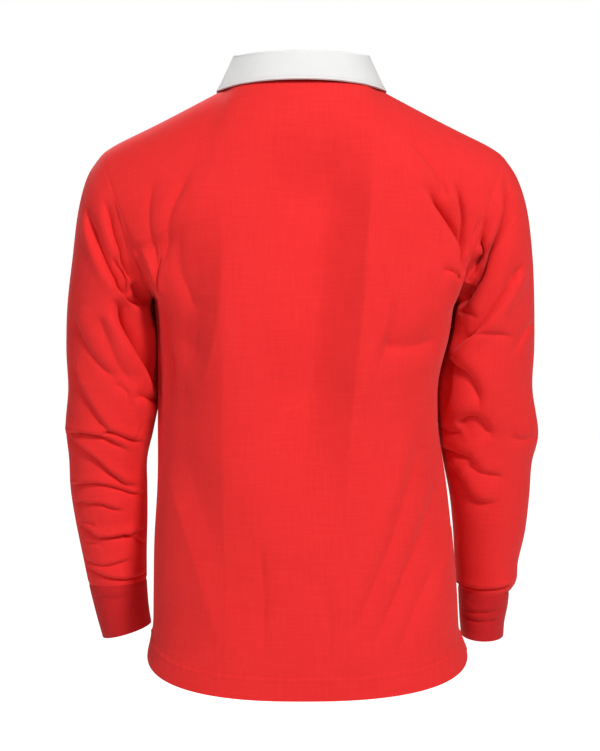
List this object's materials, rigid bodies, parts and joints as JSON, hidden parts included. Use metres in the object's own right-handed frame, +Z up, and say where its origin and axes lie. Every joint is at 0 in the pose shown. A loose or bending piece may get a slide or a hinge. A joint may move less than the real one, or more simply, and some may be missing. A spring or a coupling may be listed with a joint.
{
  "type": "rugby shirt",
  "caption": "Long-sleeved jersey rugby shirt with a contrast turn-down collar, a buttoned front placket, cuffs and a dropped back hem with side vents.",
  "frame": {"origin": "in the middle of the neck opening, level with the two points where the shoulder seams meet the collar", "axes": "+Z up along the shirt, the front with the placket faces -Y, +X is the wearer's left"},
  "size_m": [0.5675, 0.2572, 0.7468],
  "materials": {
    "red_jersey": "matt heavy cotton jersey knit",
    "white_twill": "matt cotton twill",
    "rubber_button": "satin off-white rubber"
  },
  "bodies": {
    "root": {"body_back": "red_jersey", "body_front": "red_jersey", "sleeve_left": "red_jersey", "sleeve_right": "red_jersey", "cuff_left": "red_jersey", "cuff_right": "red_jersey", "placket_top": "red_jersey", "placket_under": "red_jersey", "collar": "white_twill", "button_1": "rubber_button", "button_2": "rubber_button", "button_3": "rubber_button"}
  },
  "joints": []
}
